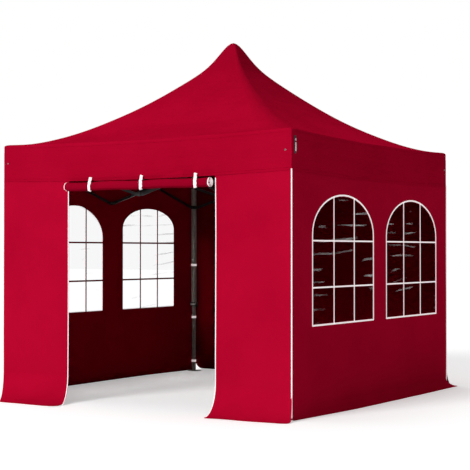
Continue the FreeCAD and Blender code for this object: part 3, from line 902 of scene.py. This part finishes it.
def zip_tapes():
    """White zip tapes at the doorway's edges and up the corners."""
    door_s = WALL_TOP - DOOR_TOP
    for way, u in ((-1, DOOR[0]), (1, DOOR[1])):
        name = f"door_zip_{'left' if way < 0 else 'right'}"
        tape = front.strip(name, u + way * DOOR_ZIP[1], u + way * DOOR_ZIP[0],
                           door_s + 0.02, front.straight + FRONT_FLARE * 1.45, DOOR_ZIP_DEPTH, TAPE)
        go_with_leg(tape, 0, way)
    for k in range(4):
        corner = CORNERS[k]
        path, across = [], []
        for i in range(41):
            z = VALANCE_BOTTOM + 0.01 - (VALANCE_BOTTOM - 0.01) * i / 40
            out = WALL_FACE + 0.0012
            path.append(turned(k, (out, -out, z)))
            across.append(turned(k, (1.0, 1.0, 0.0)))
        wide = CORNER_ZIP_FRONT if corner.startswith("front") else CORNER_ZIP_BACK
        tape = band(f"corner_zip_{corner}", path, across, wide, CORNER_ZIP_DEPTH, TAPE)
        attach(tape, f"outer_leg_{corner}")


# ---------------------------------------------------------------- rolled door and its ties

# How much each tie narrows the roll, and how far along it.
TIE_SQUEEZE = 0.10
TIE_REACH = 0.035


def rolled_door():
    """The door rolled up from the bottom: a spiral of cloth, its zip tapes wound in at both ends."""
    y0, z0 = ROLL_AXIS
    turns, steps, core = 4.5, 170, 0.010
    x0, x1 = DOOR[0] + 0.014, DOOR[1] - 0.012
    xs = [x0, x0 + 0.003, x0 + 0.006]
    xs += list(np.linspace(x0 + 0.03, x1 - 0.03, 60))
    xs += [x1 - 0.006, x1 - 0.003, x1]
    points = []
    for n, x in enumerate(xs):
        deep = 0.016 if n < 3 or n >= len(xs) - 3 else 0.0
        inward = deep if n < 3 else -deep
        sag = 0.006 * math.cos(math.pi * ((x - 0.05) / 0.28)) + 0.003 * ripple(x * 3, 0, 0, 41)
        line = []
        for i in range(steps + 1):
            share = i / steps
            a = 2 * math.pi * turns * share + 0.6
            radius = core + (ROLL_RADIUS - 0.004 - core) * share
            radius *= 1 + 0.035 * ripple(x * 5, math.cos(a) * 1.2, math.sin(a) * 1.2, 43)
            squeeze = 1.0
            for tie in tie_places():
                squeeze -= TIE_SQUEEZE * math.exp(-((x - tie) / TIE_REACH) ** 2)
            radius *= squeeze
            z = z0 + radius * math.sin(a) - sag / 2
            line.append((x + inward * (1 - share), y0 + radius * math.cos(a), z))
        points.append(line)
    points = np.array(points)
    door = grid("rolled_door_cloth", points, [RED_ROLL_PAINTED_SHADE, TAPE])
    columns = steps + 1
    for i, polygon in enumerate(door.data.polygons):
        row = i // (columns - 1)
        polygon.material_index = 1 if row < 2 or row >= len(xs) - 3 else 0
    thick(door, 0.0012, 0.0)
    gather_at_middle(door)
    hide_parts("rolled_door")


TIE_MIDDLE = 0.105
TIE_SPACING = 0.546
# How far each tie runs sideways as it goes back round the roll.
TIE_SLANT = 0.6


def tie_places():
    return [TIE_MIDDLE + i * TIE_SPACING for i in (-1, 0, 1)]


def gather_at_middle(piece):
    """The rolled door hangs at the middle of the front side, on the upper middle bracket's body."""
    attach(piece, "mid_bracket_upper_front")
    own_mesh(piece)


def ties():
    """Thick twisted tapes: down from under the valance, round the roll and back up behind it."""
    y0, z0 = ROLL_AXIS
    radius = ROLL_RADIUS * 0.95
    for i, x in enumerate(tie_places()):
        path, across = [], []
        for j in range(13):
            t = j / 12
            path.append((x, -WALL_FACE - 0.010 - 0.040 * t, 1.938 - 0.036 * t))
        for j in range(1, 41):
            turn = 100 + 262 * j / 40
            a = math.radians(turn)
            close = radius * (1 - 0.13 * smoothstep(235, 285, turn))
            path.append((x, y0 + close * math.cos(a), z0 + close * math.sin(a)))
        for j, q in enumerate(path):
            wave = ripple(j * 0.21, i * 3.7, 0, 51)
            path[j] = (q[0] + 0.006 * wave - TIE_SLANT * (q[1] - y0 + radius), q[1], q[2])
            across.append((1, 0.35 * wave, 0.5 * ripple(j * 0.17, i, 2, 53)))
        parts = [band("tie", path, across, 0.030, 0.0045, TAPE)]
        second = [(q[0] + 0.006 * math.sin(j * 0.35), q[1] - 0.003 * abs(math.sin(j * 0.35)), q[2])
                  for j, q in enumerate(path[:30])]
        parts.append(band("twist", second, across[:30], 0.015, 0.004, TAPE))
        piece = joined(f"door_tie_{i}", parts)
        gather_at_middle(piece)
        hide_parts("door_ties")


# ---------------------------------------------------------------- straps at the legs

STRAP_HEIGHTS = (0.105, 0.584, 1.154)
# Half the width of a strap's loop round the inner and the outer leg.
STRAP_ROUND_INNER = 0.0185
STRAP_ROUND_OUTER = 0.0225


def leg_straps():
    """White tapes sewn to the walls that tie them to the legs, each with its toggle."""
    for k, corner in enumerate(CORNERS):
        for i, z in enumerate(STRAP_HEIGHTS):
            half = STRAP_ROUND_INNER if z < COLLAR_BOTTOM else STRAP_ROUND_OUTER
            c = 0.006
            loop = []
            for side in range(4):
                for j in range(6):
                    a = math.radians(-90 + 90 * side + 90 * j / 5)
                    cx = (half - c) * (1 if side in (0, 1) else -1)
                    cy = (half - c) * (1 if side in (1, 2) else -1)
                    loop.append(Vector((LEG + cx + c * math.cos(a), -LEG + cy + c * math.sin(a), z)))
            loop.append(loop[0])
            strap = band("loop", loop, [(0, 0, 1)] * len(loop), 0.024, 0.0022, TAPE)
            toggle = rounded_box("toggle", (LEG - half - 0.010, -LEG + 0.002, z - 0.008),
                                 (LEG - half, -LEG + 0.014, z + 0.008), 0.003, TAPE)
            piece = joined(f"leg_strap_{corner}_{i}", [strap, toggle])
            piece.data.transform(quarter_matrix(k))
            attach(piece, f"outer_leg_{corner}")


# ---------------------------------------------------------------- carried-over frame

def paint_frame():
    """Steel tubes and black mouldings of the CAD frame."""
    plastic = ("mid_bracket", "leg_slider", "leg_lever", "upper_hub", "lower_hub")
    for name, obj in frame["nodes"].items():
        # Legs get the leg steel; the other tubes get the bar steel, darkened with painted shade.
        material = BLACK if name.startswith(plastic) else LEG_STEEL if "leg" in name else BAR_STEEL_PAINTED_SHADE
        for slot in obj.material_slots:
            slot.material = material


COLLAR_HALF = 0.0272
COLLAR_LIP = 0.0012
COLLAR_INSIDE = 0.0202


def collars():
    """Black lips round the top and bottom of each lock collar."""
    for k, corner in enumerate(CORNERS):
        low, high = COLLAR_BOTTOM, COLLAR_BOTTOM + COLLAR_HEIGHT
        outer, inner = COLLAR_HALF + COLLAR_LIP, COLLAR_INSIDE
        shell = []
        for z0, z1 in ((low - 0.001, low + 0.008), (high - 0.009, high + 0.001)):
            frame_outline = [(-outer, -outer), (outer, -outer), (outer, outer), (-outer, outer)]
            inner_outline = [(-inner, -inner), (inner, -inner), (inner, inner), (-inner, inner)]
            points, faces = [], []
            for z in (z0, z1):
                points += [(LEG + x, -LEG + y, z) for x, y in frame_outline]
                points += [(LEG + x, -LEG + y, z) for x, y in inner_outline]
            for i in range(4):
                j = (i + 1) % 4
                faces += [(i, j, 8 + j, 8 + i), (4 + i, 12 + i, 12 + j, 4 + j), (i, 4 + i, 4 + j, j),
                          (8 + i, 8 + j, 12 + j, 12 + i)]
            part = mesh_object("lip", points, faces, BLACK, smooth=False)
            shell.append(part)
        piece = joined(f"collar_lips_{corner}", shell)
        outward(piece)
        piece.data.transform(quarter_matrix(k))
        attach(piece, f"outer_leg_{corner}")


# ---------------------------------------------------------------- stage

FLOOR_GLOW = 0.39
AMBIENT = 0.27
FLOOR_REACH = 60


def seen_by_camera(tree):
    """1 for a ray from the camera, or one that has passed through a clear sheet."""
    path = tree.nodes.new("ShaderNodeLightPath")
    either = tree.nodes.new("ShaderNodeMath")
    either.operation = "MAXIMUM"
    tree.links.new(path.outputs["Is Camera Ray"], either.inputs[0])
    tree.links.new(path.outputs["Is Transmission Ray"], either.inputs[1])
    return either.outputs[0]


def floor():
    far = FLOOR_REACH
    points = [(-far, -far, 0), (far, -far, 0), (far, far, 0), (-far, far, 0)]
    obj = mesh_object("floor", points, [(0, 1, 2, 3)], floor_material(), smooth=False)


def floor_material():
    """Pale floor that glows up to white, as seen by the camera, where nothing shades it."""
    material = bpy.data.materials.new("floor")
    material.use_nodes = True
    tree = material.node_tree
    shader = tree.nodes["Principled BSDF"]
    shader.inputs["Base Color"].default_value = (0.82, 0.82, 0.82, 1)
    shader.inputs["Roughness"].default_value = 0.9
    shader.inputs["Specular IOR Level"].default_value = 0.0
    shader.inputs["Emission Color"].default_value = (1, 1, 1, 1)
    seen = seen_by_camera(tree)
    scale = tree.nodes.new("ShaderNodeMath")
    scale.operation = "MULTIPLY"
    scale.inputs[1].default_value = FLOOR_GLOW
    tree.links.new(seen, scale.inputs[0])
    tree.links.new(scale.outputs[0], shader.inputs["Emission Strength"])
    return material


def world():
    """White as the camera sees it, dimmer as a light."""
    studio = bpy.data.worlds.new("studio")
    bpy.context.scene.world = studio
    studio.use_nodes = True
    tree = studio.node_tree
    background = tree.nodes["Background"]
    background.inputs["Color"].default_value = (1, 1, 1, 1)
    seen = seen_by_camera(tree)
    mix = tree.nodes.new("ShaderNodeMix")
    mix.data_type = "FLOAT"
    mix.inputs[2].default_value = AMBIENT
    mix.inputs[3].default_value = 1.0
    tree.links.new(seen, mix.inputs[0])
    tree.links.new(mix.outputs[0], background.inputs["Strength"])


def sun(name, direction, strength, angle):
    """A lamp far away in a direction; its angle, in degrees, makes the shadows soft."""
    light = bpy.data.lights.new(name, "SUN")
    light.energy = strength
    light.angle = math.radians(angle)
    obj = bpy.data.objects.new(name, light)
    obj.rotation_euler = Vector(direction).to_track_quat("Z", "Y").to_euler()
    bpy.context.scene.collection.objects.link(obj)


CAMERA_PLACE = (6.307, -9.791, 1.307)
CAMERA_TILT = math.radians(90.74)
CAMERA_TURN = math.radians(32.72)
CAMERA_LENS = 95.2
CAMERA_SENSOR = 36.0


def camera():
    data = bpy.data.cameras.new("camera")
    data.lens = CAMERA_LENS
    data.sensor_width = CAMERA_SENSOR
    data.clip_end = 200
    obj = bpy.data.objects.new("camera", data)
    obj.location = CAMERA_PLACE
    obj.rotation_euler = (CAMERA_TILT, 0, CAMERA_TURN)
    bpy.context.scene.collection.objects.link(obj)
    bpy.context.scene.camera = obj


bpy.context.scene.view_settings.view_transform = "Standard"
camera()
world()
floor()
# The key light comes from over the doorway. The top one leans left, to shade the floor at the right wall.
sun("key", direction=(-0.20, -0.88, 0.45), strength=2.20, angle=22)
sun("top", direction=(-0.34, 0.10, 1.0), strength=0.90, angle=45)

canopy_gores()
canopy_seams()
eyelets()
corner_slots()
walls()
zip_tapes()
rolled_door()
ties()
leg_straps()
collars()
paint_frame()
